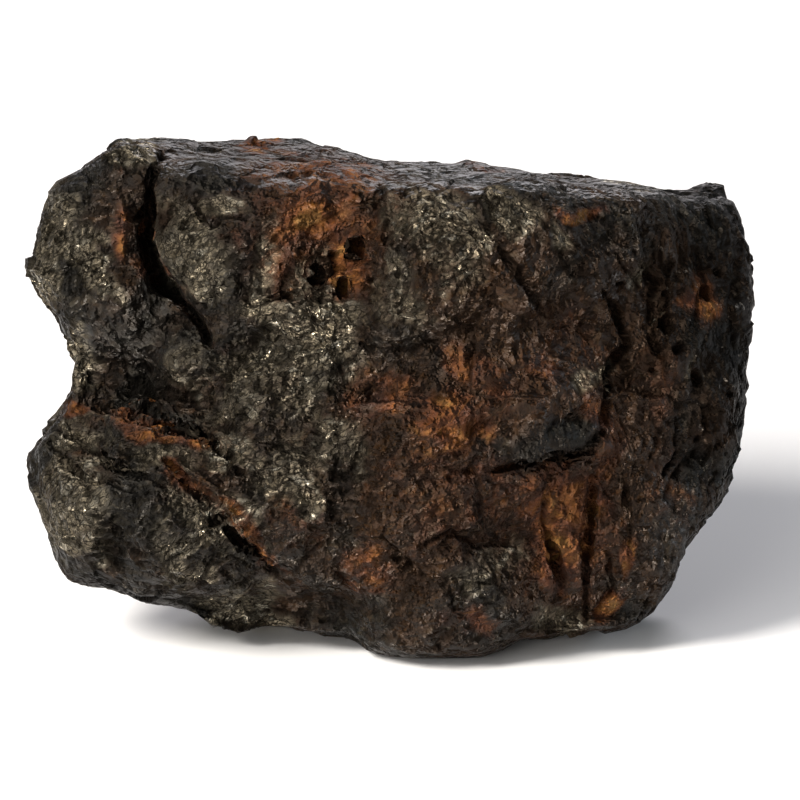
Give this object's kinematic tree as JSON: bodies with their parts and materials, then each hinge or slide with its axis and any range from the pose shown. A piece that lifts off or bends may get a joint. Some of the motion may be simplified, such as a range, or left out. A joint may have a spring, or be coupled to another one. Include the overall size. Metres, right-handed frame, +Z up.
{
  "type": "meteorite",
  "caption": "Rough dark stone, rust-stained and broken, with a notched end, an open crack, rusted pits and a flat underside to rest on.",
  "frame": {"origin": "a point on the flat of the underside, below the middle of the stone", "axes": "+X along the stone's length to the viewer's right, +Y away from the broad front, +Z up"},
  "size_m": [0.1209, 0.0718, 0.083],
  "materials": {
    "rusted_stone": "rough, dark brown to black, with a dull metallic sheen on the broken scraps and orange rust in the hollows"
  },
  "bodies": {
    "root": {"meteorite_stone": "rusted_stone"}
  },
  "joints": []
}
